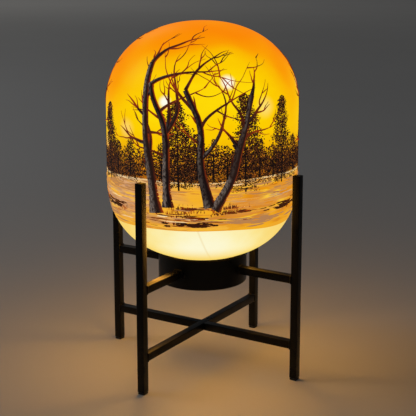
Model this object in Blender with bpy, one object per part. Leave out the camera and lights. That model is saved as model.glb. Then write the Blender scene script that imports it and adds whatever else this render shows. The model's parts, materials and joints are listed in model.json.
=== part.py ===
"""A battery lantern: a painted glass shade that lifts off a square-bar stand with its light unit.

Metres, +Z up. The origin is on the floor under the middle of the stand, and the four legs stand on
the -Y (front), +X (right), -X (left) and +Y (back) sides.
"""

import math

import bmesh
import bpy
import numpy as np
from mathutils import Matrix, Vector

MM = 0.001
GAP = 0.3 * MM  # clearance between pieces that touch

# Stand, of square bar
BAR = 6.0 * MM
BAR_EDGE = 0.45 * MM
LEG_CLEARANCE = 6.3 * MM  # between a leg and the widest part of the shade
LEG_TOP = 162.3 * MM
ARM_RISE = 15.1 * MM  # from the cup's bottom to the top of the four arms that carry it
BRACE_TOP = 31.3 * MM  # the cross that ties the legs together
PAD_HEIGHT = 1.5 * MM
PAD_INSET = 0.2 * MM  # how far a foot pad stands back from the sides of its leg

# Cup, turned from sheet, with a ledge inside its lower edge
CUP_RADIUS = 35.4 * MM
CUP_WALL = 1.2 * MM
CUP_BOTTOM = 68.9 * MM
CUP_HEIGHT = 23.4 * MM
LEDGE_WIDTH = 4.4 * MM  # from the cup's outside to the edge of its opening
RIM_GASKET = 0.8 * MM
GASKET_LIP_DEPTH = 4.0 * MM

# Glass shade: a straight band between two rounded ends, each r^n + h^n = 1
SHADE_RADIUS = 75.0 * MM
SHADE_WALL = 2.2 * MM
LOWER_END = 67.2 * MM
STRAIGHT_BAND = 53.2 * MM
UPPER_END = 65.4 * MM
LOWER_POWER = 2.44
UPPER_POWER = 2.17
NECK_RADIUS = 32.0 * MM

# Light unit
HOUSING_CLEARANCE = 0.5 * MM  # between the housing and the cup
HOUSING_HEIGHT = 16.1 * MM
HOUSING_WALL = 1.5 * MM
BASE_THICKNESS = 2.0 * MM
COLLAR_HEIGHT = 5.5 * MM
COLLAR_WALL = 1.4 * MM
NECK_GASKET = 1.6 * MM
BAY_WALL = 1.3 * MM
DOOR_THICKNESS = 1.6 * MM
HINGE_PIN_RADIUS = 0.5 * MM
HINGE_PIN_LENGTH = 0.8 * MM
THUMB_NOTCH = 4.0 * MM

# Three AAA cells, a standard size
CELL_RADIUS = 5.25 * MM
CELL_LENGTH = 44.5 * MM
NUB_RADIUS = 1.9 * MM
NUB_LENGTH = 0.9 * MM
CELL_COUNT = 3
CELL_SPACING = 0.4 * MM
SPRING_LENGTH = 3.4 * MM
SPRING_WIRE = 0.25 * MM  # radius
SPRING_TURNS = 2.5
CONTACT_THICKNESS = 0.4 * MM
CONTACT_SIDE = 8.6 * MM

# Fasteners and electronics
SCREW_HEAD_RADIUS = 1.9 * MM
SCREW_HEAD_HEIGHT = 0.8 * MM
SCREW_RADIUS = 0.8 * MM
SCREW_LENGTH = 8.0 * MM
BOSS_WALL = 1.2 * MM
SCREW_BEARINGS = (-42, 42, 180)  # degrees from the front towards the right
BOARD_LENGTH = 26.0 * MM
BOARD_CLEARANCE = 1.0 * MM  # between the board's outer corners and the housing's wall
WIRE_INSET = 3.45 * MM  # from the board's inner edge to the wire
BOARD_THICKNESS = 1.0 * MM
SWITCH_BODY = Vector((9.0, 4.0, 3.5)) * MM
SWITCH_KNOB = Vector((2.4, 1.8, 2.8)) * MM
SWITCH_TRAVEL = 2.2 * MM  # each way from the middle
CHIP = Vector((5.0, 4.0, 1.6)) * MM
GROMMET_RADIUS = 1.9 * MM
GROMMET_FLANGE = 1.1 * MM

# String of lights, close to the inside of the glass
WIRE_RADIUS = 0.35 * MM
BEAD_RADIUS = 1.3 * MM
BEAD_LENGTH = 4.0 * MM
# Each light's bearing, in degrees from the front towards the right, and its height up the shade as
# a share of the shade's whole height
LIGHTS = (
    (33, 0.079), (100, 0.327), (150, 0.445), (198, 0.574), (240, 0.499),
    (282, 0.445), (316, 0.510), (344, 0.591), (371, 0.709), (407, 0.784),
    (430, 0.682), (475, 0.736),
)  # fmt: skip

# Places worked out from the sizes above
LEG_REACH = SHADE_RADIUS + LEG_CLEARANCE + BAR / 2  # middle of a leg from the lantern's axis
ARM_TOP = CUP_BOTTOM + ARM_RISE
RIM = CUP_BOTTOM + CUP_HEIGHT
HOUSING_RADIUS = CUP_RADIUS - CUP_WALL - HOUSING_CLEARANCE
HOUSING_BOTTOM = CUP_BOTTOM + CUP_WALL + GAP
HOUSING_TOP = HOUSING_BOTTOM + HOUSING_HEIGHT
GASKET_LIP_END = max(RIM - GASKET_LIP_DEPTH, HOUSING_TOP + GAP)
BASE_TOP = HOUSING_BOTTOM + BASE_THICKNESS
CEILING = HOUSING_TOP - HOUSING_WALL
NECK_BOTTOM = HOUSING_TOP + GAP
NECK_INSIDE = NECK_RADIUS - SHADE_WALL
COLLAR_RADIUS = NECK_INSIDE - NECK_GASKET - 2 * GAP
BAY_WIDTH = CELL_COUNT * 2 * CELL_RADIUS + (CELL_COUNT + 1) * CELL_SPACING
BAY_LENGTH = CELL_LENGTH + SPRING_LENGTH + 2 * CONTACT_THICKNESS + 4 * GAP
CELL_PITCH = 2 * CELL_RADIUS + CELL_SPACING
CELL_HEIGHT = HOUSING_BOTTOM + DOOR_THICKNESS + GAP + CELL_RADIUS
HINGE = Vector((0, BAY_WIDTH / 2 - GAP - DOOR_THICKNESS / 2, HOUSING_BOTTOM + DOOR_THICKNESS / 2))
BOARD_SIDE = -BAY_WIDTH / 2 - BAY_WALL - 2 * GAP  # the board's edge next to the battery bay
BOARD_CORNER = HOUSING_RADIUS - HOUSING_WALL - BOARD_CLEARANCE
BOARD_WIDTH = math.sqrt(BOARD_CORNER**2 - (BOARD_LENGTH / 2) ** 2) + BOARD_SIDE
BOARD_MIDDLE = BOARD_SIDE - BOARD_WIDTH / 2
SWITCH_PLACE = Vector((0, BOARD_MIDDLE, BASE_TOP + GAP + SWITCH_BODY.z / 2))
BOARD_BOTTOM = BASE_TOP + SWITCH_BODY.z + 2 * GAP
BOSS_RADIUS = SCREW_RADIUS + GAP + BOSS_WALL
SCREW_CIRCLE = CUP_RADIUS - LEDGE_WIDTH - SCREW_HEAD_RADIUS - GAP
SCREW_PLACES = [
    (SCREW_CIRCLE * math.sin(math.radians(bearing)), -SCREW_CIRCLE * math.cos(math.radians(bearing)))
    for bearing in SCREW_BEARINGS
]
WIRE_EXIT = Vector((6 * MM, BOARD_SIDE - WIRE_INSET, 0))
SHADE_SEGMENTS = 40
RING_SEGMENTS = 48


def end_rise(radius, full_radius, height, power):
    """Height above the tip of a rounded end at this distance from its axis."""
    return height * (1 - (1 - (radius / full_radius) ** power) ** (1 / power))


SHADE_TIP = RIM + RIM_GASKET + 2 * GAP - end_rise(
    CUP_RADIUS - CUP_WALL / 2, SHADE_RADIUS, LOWER_END, LOWER_POWER
)  # where the lower end would close if it had no neck


def inner_radius(z):
    """Radius of the glass's inside at a height in its lower end, straight band or upper end."""
    band_bottom = SHADE_TIP + LOWER_END
    band_top = band_bottom + STRAIGHT_BAND
    full = SHADE_RADIUS - SHADE_WALL
    below = np.clip((band_bottom - z) / (LOWER_END - SHADE_WALL), 0, 1)
    above = np.clip((z - band_top) / (UPPER_END - SHADE_WALL), 0, 1)
    lower = full * (1 - below**LOWER_POWER) ** (1 / LOWER_POWER)
    upper = full * (1 - above**UPPER_POWER) ** (1 / UPPER_POWER)
    return np.minimum(lower, upper)


def inside_wall(z, distance):
    """Radius at a height that keeps this distance from the glass's faceted inside."""
    step = 0.1 * MM
    slope = (inner_radius(z + step) - inner_radius(z - step)) / (2 * step)
    facet = SHADE_RADIUS * (1 - math.cos(math.pi / SHADE_SEGMENTS))
    return inner_radius(z) - facet - distance * np.sqrt(1 + slope**2)


def material(name, colour, roughness, metallic=0.0):
    made = bpy.data.materials.new(name)
    made.use_nodes = True
    shader = made.node_tree.nodes["Principled BSDF"]
    shader.inputs["Base Color"].default_value = (*colour, 1)
    shader.inputs["Roughness"].default_value = roughness
    shader.inputs["Metallic"].default_value = metallic
    made.diffuse_color = (*colour, 1)
    return made


FINISHES = {
    "black_coat": ((0.03, 0.03, 0.03), 0.45),
    "painted_glass": ((0.85, 0.55, 0.2), 0.35),
    "black_plastic": ((0.04, 0.04, 0.045), 0.5),
    "clear_silicone": ((0.6, 0.58, 0.55), 0.6),
    "dark_rubber": ((0.02, 0.02, 0.02), 0.8),
    "cell_wrap": ((0.05, 0.2, 0.12), 0.3),
    "nickel": ((0.6, 0.58, 0.53), 0.3, 1.0),
    "zinc": ((0.5, 0.5, 0.5), 0.35, 1.0),
    "board_green": ((0.02, 0.2, 0.08), 0.4),
    "chip_black": ((0.02, 0.02, 0.02), 0.5),
    "copper": ((0.7, 0.35, 0.2), 0.3, 1.0),
    "light_resin": ((1.0, 0.85, 0.5), 0.2),
}


def named_object(name, data, finish, location=(0, 0, 0), parent=None):
    data.materials.append(material(name, *FINISHES[finish]))
    made = bpy.data.objects.new(name, data)
    made.location = location
    bpy.context.scene.collection.objects.link(made)
    if parent:
        made.parent = parent
        made.location = Vector(location) - parent.location
    return made


def empty(name, location, parent=None):
    made = bpy.data.objects.new(name, None)
    made.location = location
    made.parent = parent
    bpy.context.scene.collection.objects.link(made)
    return made


def mesh_from(bm, name, smooth_below=None):
    bmesh.ops.recalc_face_normals(bm, faces=bm.faces)
    mesh = bpy.data.meshes.new(name)
    bm.to_mesh(mesh)
    bm.free()
    if smooth_below:
        mesh.shade_smooth()
        mesh.set_sharp_from_angle(angle=math.radians(smooth_below))
    return mesh


def box_mesh(name, low, high, edge=0.0):
    """A block between two corners, with its edges chamfered by this much."""
    low, high = Vector(low), Vector(high)
    bm = bmesh.new()
    bmesh.ops.create_cube(
        bm, size=1, matrix=Matrix.Translation((low + high) / 2) @ Matrix.Diagonal((*(high - low), 1))
    )
    if edge:
        bmesh.ops.bevel(bm, geom=bm.edges[:], offset=edge, segments=1, affect="EDGES")
    return mesh_from(bm, name)


def turned_mesh(name, outline, segments, axis="Z"):
    """A closed outline of (radius, height) points spun round Z, then laid along X if asked."""
    bm = bmesh.new()
    points = [bm.verts.new((radius, 0, height)) for radius, height in outline]
    edges = [bm.edges.new(pair) for pair in zip(points, points[1:] + points[:1])]
    bmesh.ops.spin(
        bm, geom=points + edges, cent=(0, 0, 0), axis=(0, 0, 1), dvec=(0, 0, 0),
        angle=math.tau, steps=segments, use_merge=True, use_duplicate=False,
    )  # fmt: skip
    bmesh.ops.remove_doubles(bm, verts=bm.verts, dist=1e-6)
    on_axis = [e for e in bm.edges if all(Vector(v.co.xy).length < 1e-7 for v in e.verts)]
    bmesh.ops.delete(bm, geom=on_axis, context="EDGES")
    if axis == "X":
        bmesh.ops.rotate(bm, verts=bm.verts, matrix=Matrix.Rotation(math.pi / 2, 3, "Y"))
    return mesh_from(bm, name, smooth_below=35)


def rod_mesh(name, radius, low, high, segments=16, axis="Z"):
    return turned_mesh(name, [(0, low), (radius, low), (radius, high), (0, high)], segments, axis)


def combine(target, operation, mesh, location=(0, 0, 0)):
    """Adds or cuts a mesh with a Boolean, and keeps the other shape as a hidden guide."""
    guide = bpy.data.objects.new(f"{target.name}_{mesh.name}", mesh)
    guide.location = Vector(location) - (target.parent.location if target.parent else Vector())
    guide.parent = target.parent
    guide.hide_render = True
    guide.display_type = "WIRE"
    bpy.context.scene.collection.objects.link(guide)
    guide.hide_set(True)
    change = target.modifiers.new(mesh.name, "BOOLEAN")
    change.operation = operation
    change.object = guide
    return guide


def make_stand():
    half = BAR / 2
    bar_start = LEG_REACH - half - GAP
    sides = {"front": (0, -1), "right": (1, 0), "back": (0, 1), "left": (-1, 0)}
    for side, (x, y) in sides.items():
        foot = Vector((x, y, 0)) * LEG_REACH
        pad = half - PAD_INSET
        named_object(
            f"foot_pad_{side}",
            box_mesh("pad", (-pad, -pad, 0), (pad, pad, PAD_HEIGHT), BAR_EDGE),
            "dark_rubber",
            foot,
        )
        leg_low = PAD_HEIGHT + GAP
        named_object(
            f"leg_{side}",
            box_mesh("leg", (-half, -half, leg_low), (half, half, LEG_TOP), BAR_EDGE),
            "black_coat",
            foot,
        )
        arm = box_mesh(
            "arm", (CUP_RADIUS + GAP, -half, ARM_TOP - BAR), (bar_start, half, ARM_TOP), BAR_EDGE
        )
        named_object(f"arm_{side}", arm, "black_coat").rotation_euler.z = math.atan2(y, x)
    brace_low = BRACE_TOP - BAR
    long_brace = box_mesh(
        "brace", (-half, -bar_start, brace_low), (half, bar_start, BRACE_TOP), BAR_EDGE
    )
    named_object("brace_long", long_brace, "black_coat")
    for side, turn in (("right", 0), ("left", math.pi)):
        short = box_mesh(
            "brace", (half + GAP, -half, brace_low), (bar_start, half, BRACE_TOP), BAR_EDGE
        )
        named_object(f"brace_{side}", short, "black_coat").rotation_euler.z = turn


def make_cup():
    inside = CUP_RADIUS - CUP_WALL
    opening = CUP_RADIUS - LEDGE_WIDTH
    edge = CUP_WALL / 4
    cup = [
        (opening, CUP_BOTTOM), (CUP_RADIUS - edge, CUP_BOTTOM), (CUP_RADIUS, CUP_BOTTOM + edge),
        (CUP_RADIUS, RIM - edge), (CUP_RADIUS - edge, RIM), (inside, RIM),
        (inside, CUP_BOTTOM + CUP_WALL), (opening, CUP_BOTTOM + CUP_WALL),
    ]  # fmt: skip
    named_object("cup_shell", turned_mesh("cup", cup, RING_SEGMENTS), "black_coat")


def shade_outline(radius, lower, upper, lower_power, upper_power, start_radius, steps):
    """Points up one side of the shade, from start_radius on its lower end to the top."""
    first = math.asin((start_radius / radius) ** (lower_power / 2))
    band_bottom = SHADE_TIP + LOWER_END
    low_turn = np.linspace(first, math.pi / 2, steps)
    high_turn = np.linspace(0, math.pi / 2, steps)
    low_end = zip(
        radius * np.sin(low_turn) ** (2 / lower_power),
        band_bottom - lower * np.cos(low_turn) ** (2 / lower_power),
    )
    high_end = zip(
        radius * np.cos(high_turn) ** (2 / upper_power),
        band_bottom + STRAIGHT_BAND + upper * np.sin(high_turn) ** (2 / upper_power),
    )
    points = [(float(r), float(z)) for r, z in (*low_end, *high_end)]
    points[-1] = (0.0, points[-1][1])
    return points


def make_shade(unit):
    outside = shade_outline(
        SHADE_RADIUS, LOWER_END, UPPER_END, LOWER_POWER, UPPER_POWER, NECK_RADIUS, 13
    )
    inside = shade_outline(
        SHADE_RADIUS - SHADE_WALL, LOWER_END - SHADE_WALL, UPPER_END - SHADE_WALL,
        LOWER_POWER, UPPER_POWER, NECK_INSIDE, 12,
    )  # fmt: skip
    outline = [(NECK_INSIDE, NECK_BOTTOM), (NECK_RADIUS, NECK_BOTTOM), *outside, *inside[::-1]]
    named_object(
        "glass_shade", turned_mesh("shade", outline, SHADE_SEGMENTS), "painted_glass", parent=unit
    )
    low = NECK_BOTTOM + 2 * GAP
    high = HOUSING_TOP + COLLAR_HEIGHT - 2 * GAP
    gasket_inside, gasket_outside = COLLAR_RADIUS + GAP, NECK_INSIDE - GAP
    ring = [(gasket_inside, low), (gasket_outside, low), (gasket_outside, high), (gasket_inside, high)]
    named_object(
        "neck_gasket", turned_mesh("ring", ring, RING_SEGMENTS), "clear_silicone", parent=unit
    )


def make_rim_gasket(unit):
    """A ring that stays on the glass: it rests on the cup's rim, and its lip centres it inside."""

    def under_glass(radius):
        return SHADE_TIP + end_rise(radius, SHADE_RADIUS, LOWER_END, LOWER_POWER) - GAP

    lip_outside = CUP_RADIUS - CUP_WALL - GAP
    lip_inside = NECK_RADIUS + GAP
    gasket = [
        (lip_outside, RIM + GAP), (CUP_RADIUS, RIM + GAP), (CUP_RADIUS, under_glass(CUP_RADIUS)),
        (lip_inside, under_glass(lip_inside)), (lip_inside, GASKET_LIP_END),
        (lip_outside, GASKET_LIP_END),
    ]  # fmt: skip
    named_object(
        "rim_gasket", turned_mesh("gasket", gasket, RING_SEGMENTS), "dark_rubber", parent=unit
    )


def make_housing(unit):
    base = named_object(
        "housing_base",
        turned_mesh("base", [
            (0, HOUSING_BOTTOM), (HOUSING_RADIUS, HOUSING_BOTTOM),
            (HOUSING_RADIUS, BASE_TOP), (0, BASE_TOP),
        ], RING_SEGMENTS),
        "black_plastic",
        parent=unit,
    )  # fmt: skip
    half_long, half_wide = BAY_LENGTH / 2, BAY_WIDTH / 2
    walls_low = BASE_TOP - BASE_THICKNESS / 2
    walls_high = CEILING - GAP
    combine(base, "UNION", box_mesh(
        "bay_walls", (-half_long - BAY_WALL, -half_wide - BAY_WALL, walls_low),
        (half_long + BAY_WALL, half_wide + BAY_WALL, walls_high),
    ))  # fmt: skip
    combine(base, "DIFFERENCE", box_mesh(
        "bay_space", (-half_long, -half_wide, HOUSING_BOTTOM - 2 * MM),
        (half_long, half_wide, walls_high + 2 * MM),
    ))  # fmt: skip
    pin_reach = BAY_LENGTH / 2 + HINGE_PIN_LENGTH + GAP
    combine(base, "DIFFERENCE", rod_mesh(
        "hinge_bore", HINGE_PIN_RADIUS + GAP, -pin_reach, pin_reach, 12, axis="X"
    ), HINGE)  # fmt: skip
    combine(base, "DIFFERENCE", rod_mesh(
        "thumb_notch", THUMB_NOTCH, HOUSING_BOTTOM - MM, HOUSING_BOTTOM + BASE_THICKNESS / 2, 24
    ), (0, -half_wide, 0))  # fmt: skip
    slot = Vector((SWITCH_KNOB.x / 2 + SWITCH_TRAVEL + GAP, SWITCH_KNOB.y / 2 + GAP, BASE_THICKNESS))
    combine(base, "DIFFERENCE", box_mesh("switch_slot", -slot, slot),
            (0, BOARD_MIDDLE, HOUSING_BOTTOM + BASE_THICKNESS / 2))  # fmt: skip
    for number, (x, y) in enumerate(SCREW_PLACES, 1):
        head = SCREW_HEAD_HEIGHT + 2 * GAP
        bore = [
            (0, -MM), (SCREW_HEAD_RADIUS + GAP, -MM), (SCREW_HEAD_RADIUS + GAP, head),
            (SCREW_RADIUS + GAP, head), (SCREW_RADIUS + GAP, 2 * BASE_THICKNESS), (0, 2 * BASE_THICKNESS),
        ]  # fmt: skip
        cut = turned_mesh(f"screw_bore_{number}", bore, 16)
        combine(base, "DIFFERENCE", cut, (x, y, HOUSING_BOTTOM))

    low = BASE_TOP + GAP
    inner = HOUSING_RADIUS - HOUSING_WALL
    collar_inner = COLLAR_RADIUS - COLLAR_WALL
    collar_top = HOUSING_TOP + COLLAR_HEIGHT
    cover = named_object(
        "housing_cover",
        turned_mesh("cover", [
            (inner, low), (HOUSING_RADIUS, low), (HOUSING_RADIUS, HOUSING_TOP),
            (COLLAR_RADIUS, HOUSING_TOP), (COLLAR_RADIUS, collar_top), (collar_inner, collar_top),
            (collar_inner, HOUSING_TOP), (0, HOUSING_TOP), (0, CEILING), (inner, CEILING),
        ], RING_SEGMENTS),
        "black_plastic",
        parent=unit,
    )  # fmt: skip
    hole = rod_mesh("wire_hole", GROMMET_RADIUS + GAP, CEILING - MM, HOUSING_TOP + MM)
    combine(cover, "DIFFERENCE", hole, WIRE_EXIT)
    for number, (x, y) in enumerate(SCREW_PLACES, 1):
        boss = rod_mesh(f"boss_{number}", BOSS_RADIUS, low, CEILING + HOUSING_WALL / 2)
        combine(cover, "UNION", boss, (x, y, 0))
        pilot = rod_mesh(f"pilot_{number}", SCREW_RADIUS + GAP, low - MM, CEILING - MM)
        combine(cover, "DIFFERENCE", pilot, (x, y, 0))


def make_screws(unit):
    head = SCREW_HEAD_HEIGHT
    outline = [
        (0, 0), (SCREW_HEAD_RADIUS, 0), (SCREW_HEAD_RADIUS, head), (SCREW_RADIUS, head),
        (SCREW_RADIUS, head + SCREW_LENGTH - SCREW_RADIUS), (0, head + SCREW_LENGTH),
    ]  # fmt: skip
    for number, (x, y) in enumerate(SCREW_PLACES, 1):
        name = f"housing_screw_{number}"
        screw = named_object(
            name, turned_mesh("screw", outline, 12), "zinc", (x, y, HOUSING_BOTTOM + GAP), unit
        )
        slot = Vector((SCREW_HEAD_RADIUS * 0.7, 0.2 * MM, head * 0.5))
        for turn, blade in enumerate((slot, Vector((slot.y, slot.x, slot.z)))):
            combine(screw, "DIFFERENCE", box_mesh(f"cross_{turn}", -blade, blade),
                    (x, y, HOUSING_BOTTOM + GAP))  # fmt: skip


def make_door(unit):
    """A plate that hangs on two pins along its back edge, with its origin on their axis."""
    hinge = empty("battery_door_axis", HINGE - unit.location, unit)
    half_long = BAY_LENGTH / 2 - GAP
    half_thick = DOOR_THICKNESS / 2
    low = (-half_long, -BAY_WIDTH / 2 + GAP - HINGE.y, -half_thick)
    high = (half_long, BAY_WIDTH / 2 - GAP - HINGE.y, half_thick)
    door = named_object("battery_door", box_mesh("door", low, high, 0.2 * MM), "black_plastic")
    door.parent = hinge
    reach = BAY_LENGTH / 2 + HINGE_PIN_LENGTH - GAP
    pins = rod_mesh("hinge_pins", HINGE_PIN_RADIUS, -reach, reach, 12, axis="X")
    guide = combine(door, "UNION", pins)
    guide.location = (0, 0, 0)
    for row in range(3):
        groove = box_mesh(f"grip_{row}", (-5 * MM, -0.35 * MM, -MM), (5 * MM, 0.35 * MM, 0.4 * MM))
        guide = combine(door, "DIFFERENCE", groove)
        guide.location = (0, low[1] + (3 + 1.6 * row) * MM, -half_thick)


def make_cells(unit):
    """Cells lie side by side along X, every other one turned round, each on its own spring."""
    wall = BAY_LENGTH / 2
    front = CELL_RADIUS - 0.4 * MM
    for index in range(CELL_COUNT):
        way = 1 if index % 2 == 0 else -1
        y = (index - (CELL_COUNT - 1) / 2) * CELL_PITCH
        nub_end = wall - GAP - CONTACT_THICKNESS - GAP
        flat_end = nub_end - CELL_LENGTH
        outline = [
            (0, flat_end), (front, flat_end), (CELL_RADIUS, flat_end + 0.4 * MM),
            (CELL_RADIUS, nub_end - NUB_LENGTH - 0.4 * MM), (front, nub_end - NUB_LENGTH),
            (NUB_RADIUS, nub_end - NUB_LENGTH), (NUB_RADIUS, nub_end), (0, nub_end),
        ]  # fmt: skip
        cell = named_object(
            f"battery_{index + 1}", turned_mesh("cell", outline, 20, axis="X"), "cell_wrap",
            (0, y, CELL_HEIGHT), unit,
        )  # fmt: skip
        if way < 0:
            cell.rotation_euler.z = math.pi
        plate_face = -(wall - GAP - CONTACT_THICKNESS) + SPRING_WIRE
        cell_face = flat_end - GAP - SPRING_WIRE
        turns = np.linspace(0, 1, int(SPRING_TURNS * 10) + 1)
        radii = (CELL_RADIUS - 1.6 * MM) * (1 - 0.4 * turns)
        angles = turns * SPRING_TURNS * math.tau
        points = np.stack([
            plate_face + GAP / 3 + (cell_face - plate_face - GAP / 3) * turns,
            radii * np.cos(angles), radii * np.sin(angles),
        ], axis=1)  # fmt: skip
        spring = wire_object(
            f"battery_spring_{index + 1}", points, SPRING_WIRE, "nickel", unit, resolution=1
        )
        spring.location = Vector((0, y, CELL_HEIGHT)) - unit.location
        if way < 0:
            spring.rotation_euler.z = math.pi


def make_contacts(unit):
    """Two end plates for the supply and two wide ones that join neighbouring cells."""
    wall = BAY_LENGTH / 2 - GAP
    half = CONTACT_SIDE / 2
    first = -(CELL_COUNT - 1) / 2 * CELL_PITCH
    plates = {
        "contact_negative": (-1, 0, 0),
        "contact_positive": (1, CELL_COUNT - 1, CELL_COUNT - 1),
        "contact_bridge_right": (1, 0, 1),
        "contact_bridge_left": (-1, 1, 2),
    }
    for name, (end, cell_from, cell_to) in plates.items():
        x_low, x_high = sorted((end * wall, end * (wall - CONTACT_THICKNESS)))
        low = (x_low, first + cell_from * CELL_PITCH - half, CELL_HEIGHT - half)
        high = (x_high, first + cell_to * CELL_PITCH + half, CELL_HEIGHT + half)
        named_object(name, box_mesh("plate", low, high), "nickel", parent=unit)


def make_board(unit):
    middle = Vector((0, BOARD_MIDDLE, BOARD_BOTTOM + BOARD_THICKNESS / 2))
    half = Vector((BOARD_LENGTH, BOARD_WIDTH, BOARD_THICKNESS)) / 2
    named_object("circuit_board", box_mesh("board", -half, half), "board_green", middle, unit)
    chip_place = Vector((-4 * MM, BOARD_MIDDLE, BOARD_BOTTOM + BOARD_THICKNESS + GAP + CHIP.z / 2))
    named_object("timer_chip", box_mesh("chip", -CHIP / 2, CHIP / 2, 0.2 * MM), "chip_black",
                 chip_place, unit)  # fmt: skip
    named_object("switch_body", box_mesh("switch", -SWITCH_BODY / 2, SWITCH_BODY / 2), "nickel",
                 SWITCH_PLACE, unit)  # fmt: skip
    knob_top = SWITCH_PLACE.z - SWITCH_BODY.z / 2 - GAP
    axis = empty("switch_axis", Vector((0, BOARD_MIDDLE, knob_top - SWITCH_KNOB.z / 2)), unit)
    axis.location -= unit.location
    knob = named_object(
        "switch_slider", box_mesh("knob", -SWITCH_KNOB / 2, SWITCH_KNOB / 2, 0.2 * MM), "black_plastic"
    )
    knob.parent = axis


def make_grommet(unit):
    bore = WIRE_RADIUS + GAP
    low, seat = CEILING, HOUSING_TOP + GAP
    outline = [
        (bore, low), (GROMMET_RADIUS, low), (GROMMET_RADIUS, seat),
        (GROMMET_RADIUS + GROMMET_FLANGE, seat), (GROMMET_RADIUS + GROMMET_FLANGE, seat + 0.8 * MM),
        (bore, seat + 0.8 * MM),
    ]  # fmt: skip
    named_object("wire_grommet", turned_mesh("grommet", outline, 16), "clear_silicone", WIRE_EXIT, unit)


def wire_object(name, points, radius, finish, parent, resolution=1):
    curve = bpy.data.curves.new(name, "CURVE")
    curve.dimensions = "3D"
    curve.bevel_depth = radius
    curve.bevel_resolution = resolution
    curve.use_fill_caps = True
    spline = curve.splines.new("POLY")
    spline.points.add(len(points) - 1)
    for target, point in zip(spline.points, points):
        target.co = (*(float(value) for value in point), 1)
    return named_object(name, curve, finish, parent=parent)


def smooth_through(stations, steps):
    """A Catmull-Rom curve through rows of numbers, with this many steps between neighbours."""
    padded = np.vstack([2 * stations[0] - stations[1], stations, 2 * stations[-1] - stations[-2]])
    t = np.linspace(0, 1, steps, endpoint=False)[:, None]
    pieces = []
    for before, start, end, after in zip(padded, padded[1:], padded[2:], padded[3:]):
        pieces.append(0.5 * (
            2 * start + (end - before) * t + (2 * before - 5 * start + 4 * end - after) * t**2
            + (3 * start - before - 3 * end + after) * t**3
        ))  # fmt: skip
    return np.vstack([*pieces, stations[-1:]])


def on_bearing(bearing, radius, z):
    """A point at this bearing, in degrees from the front (-Y) towards the right (+X)."""
    angle = np.radians(bearing)
    return np.stack([radius * np.sin(angle), -radius * np.cos(angle), z + 0 * angle], axis=-1)


def make_light_string(unit):
    bead_inset = BEAD_RADIUS + GAP
    wire_inset = bead_inset + BEAD_RADIUS + WIRE_RADIUS + GAP / 2
    bearings = np.array([bearing for bearing, _ in LIGHTS], float)
    shade_height = LOWER_END + STRAIGHT_BAND + UPPER_END
    heights = SHADE_TIP + shade_height * np.array([share for _, share in LIGHTS])
    exit_bearing = math.degrees(math.atan2(WIRE_EXIT.x, -WIRE_EXIT.y))
    exit_radius = WIRE_EXIT.xy.length
    board_top = BOARD_BOTTOM + BOARD_THICKNESS + GAP
    rise = np.array([
        (exit_bearing, exit_radius, board_top),
        (exit_bearing, exit_radius, HOUSING_TOP + 2 * MM),
        (exit_bearing + 4, exit_radius + 1.5 * MM, HOUSING_TOP + COLLAR_HEIGHT),
    ])  # fmt: skip
    turn = RIM + 5 * MM
    lead = np.array([(bearings[0] - 8, inside_wall(turn, wire_inset), turn)])
    on_glass = np.stack([bearings, inside_wall(heights, wire_inset), heights], axis=1)
    route = smooth_through(np.vstack([rise, lead, on_glass]), 5)
    near_glass = route[:, 2] > heights[0]
    route[near_glass, 1] = inside_wall(route[near_glass, 2], wire_inset)
    straight = route[:, 2] < rise[1, 2]
    route[straight, :2] = exit_bearing, exit_radius
    wire_object("led_wire", on_bearing(route[:, 0], route[:, 1], route[:, 2]), WIRE_RADIUS, "copper", unit)
    for number, (bearing, height) in enumerate(zip(bearings, heights), 1):
        bm = bmesh.new()
        bmesh.ops.create_uvsphere(bm, u_segments=8, v_segments=5, radius=1)
        bmesh.ops.scale(bm, verts=bm.verts, vec=(BEAD_LENGTH / 2, BEAD_RADIUS, BEAD_RADIUS))
        bead = named_object(
            f"led_bead_{number:02d}", mesh_from(bm, "bead", smooth_below=80), "light_resin",
            Vector(on_bearing(bearing, inside_wall(height, bead_inset), height)), unit,
        )  # fmt: skip
        bead.rotation_euler.z = math.radians(bearing)


def main():
    for old in list(bpy.data.objects):
        bpy.data.objects.remove(old, do_unlink=True)
    make_stand()
    make_cup()
    unit = empty("light_unit_axis", Vector((0, 0, HOUSING_BOTTOM)))
    make_shade(unit)
    make_rim_gasket(unit)
    make_housing(unit)
    make_screws(unit)
    make_door(unit)
    make_cells(unit)
    make_contacts(unit)
    make_board(unit)
    make_grommet(unit)
    make_light_string(unit)


main()
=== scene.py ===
"""Looks for a battery table lantern: a painted glass shade, lit from inside, on a black stand."""

import json
import math

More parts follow.
